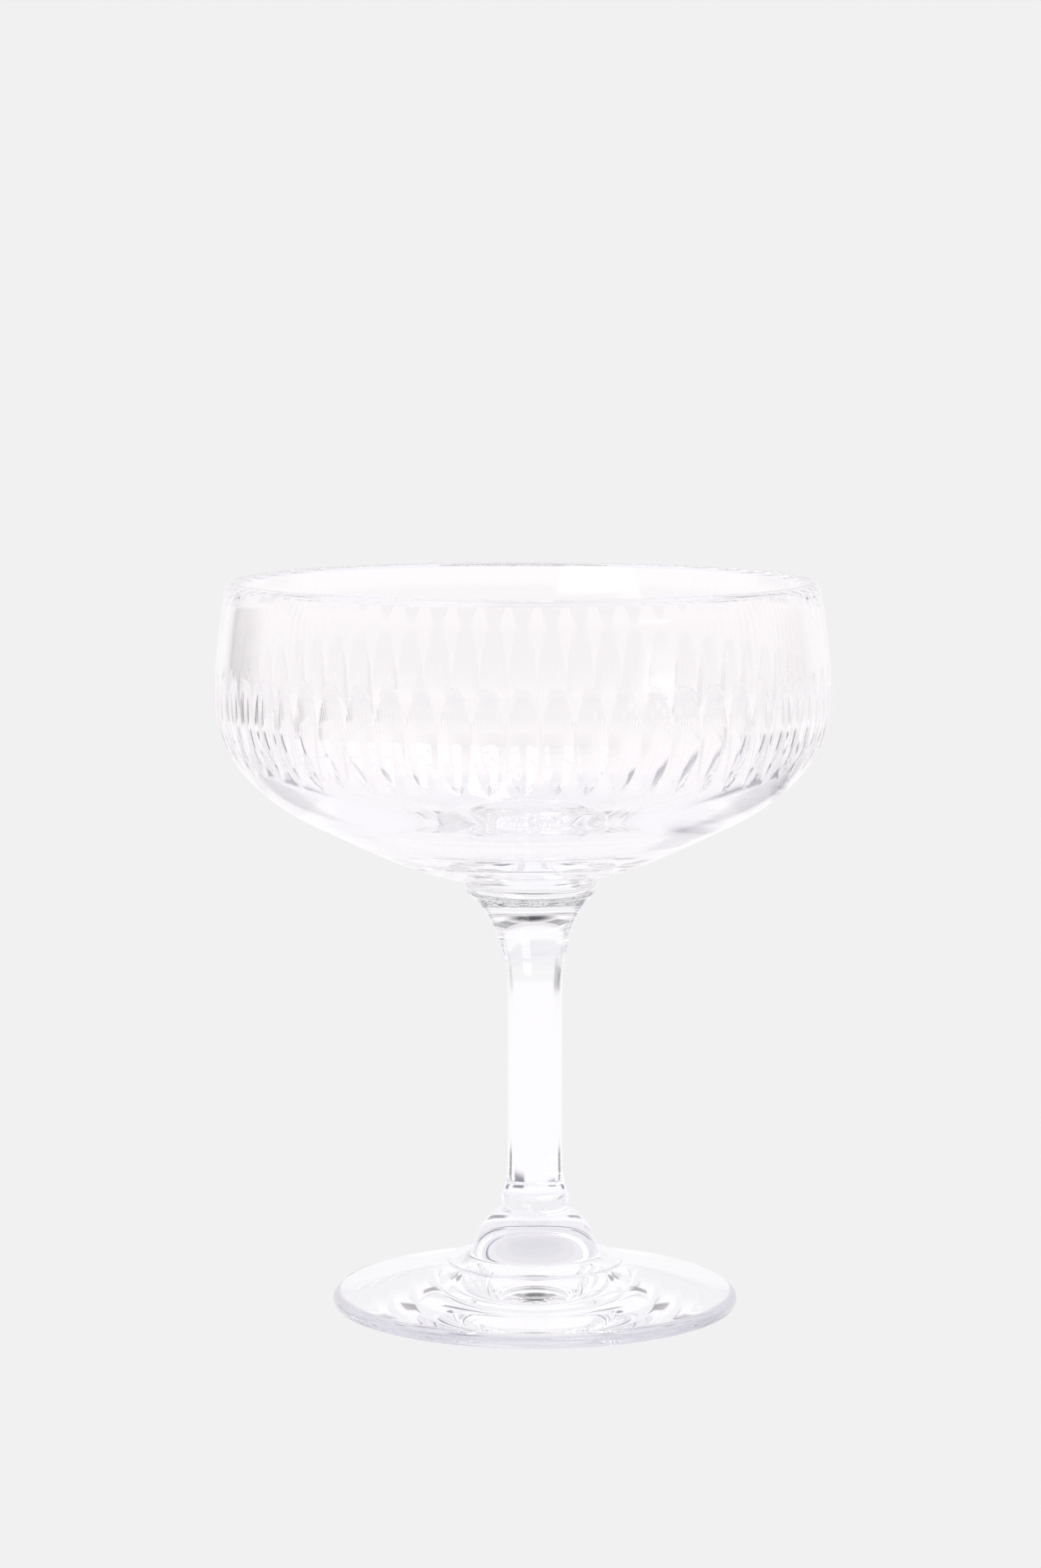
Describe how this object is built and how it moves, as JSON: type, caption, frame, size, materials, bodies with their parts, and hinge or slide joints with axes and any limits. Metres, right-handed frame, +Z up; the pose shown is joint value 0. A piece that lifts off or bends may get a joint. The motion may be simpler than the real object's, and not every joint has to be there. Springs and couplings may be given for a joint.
{
  "type": "champagne coupe",
  "caption": "Hand-cut clear crystal champagne coupe: wide shallow bowl with a band of spear cuts, on a merese, plain stem, bead ring, domed knop and spread foot.",
  "frame": {"origin": "on the plane that the foot stands on, under the middle of the bowl", "axes": "+Z up along the bowl's axis; +X towards the side that the stem and foot are set 2.1 mm to; the part is mirror-symmetric about Y = 0"},
  "size_m": [0.1048, 0.1048, 0.1248],
  "materials": {
    "bowl_crystal": "clear polished crystal, the spear cuts polished",
    "stem_crystal": "clear fire-polished crystal",
    "foot_crystal": "clear fire-polished crystal with the faintest lilac tint in its thickness"
  },
  "bodies": {
    "root": {"bowl": "bowl_crystal", "merese": "stem_crystal", "stem": "stem_crystal", "stem_ring": "stem_crystal", "foot_knop": "foot_crystal", "foot": "foot_crystal"}
  },
  "joints": []
}
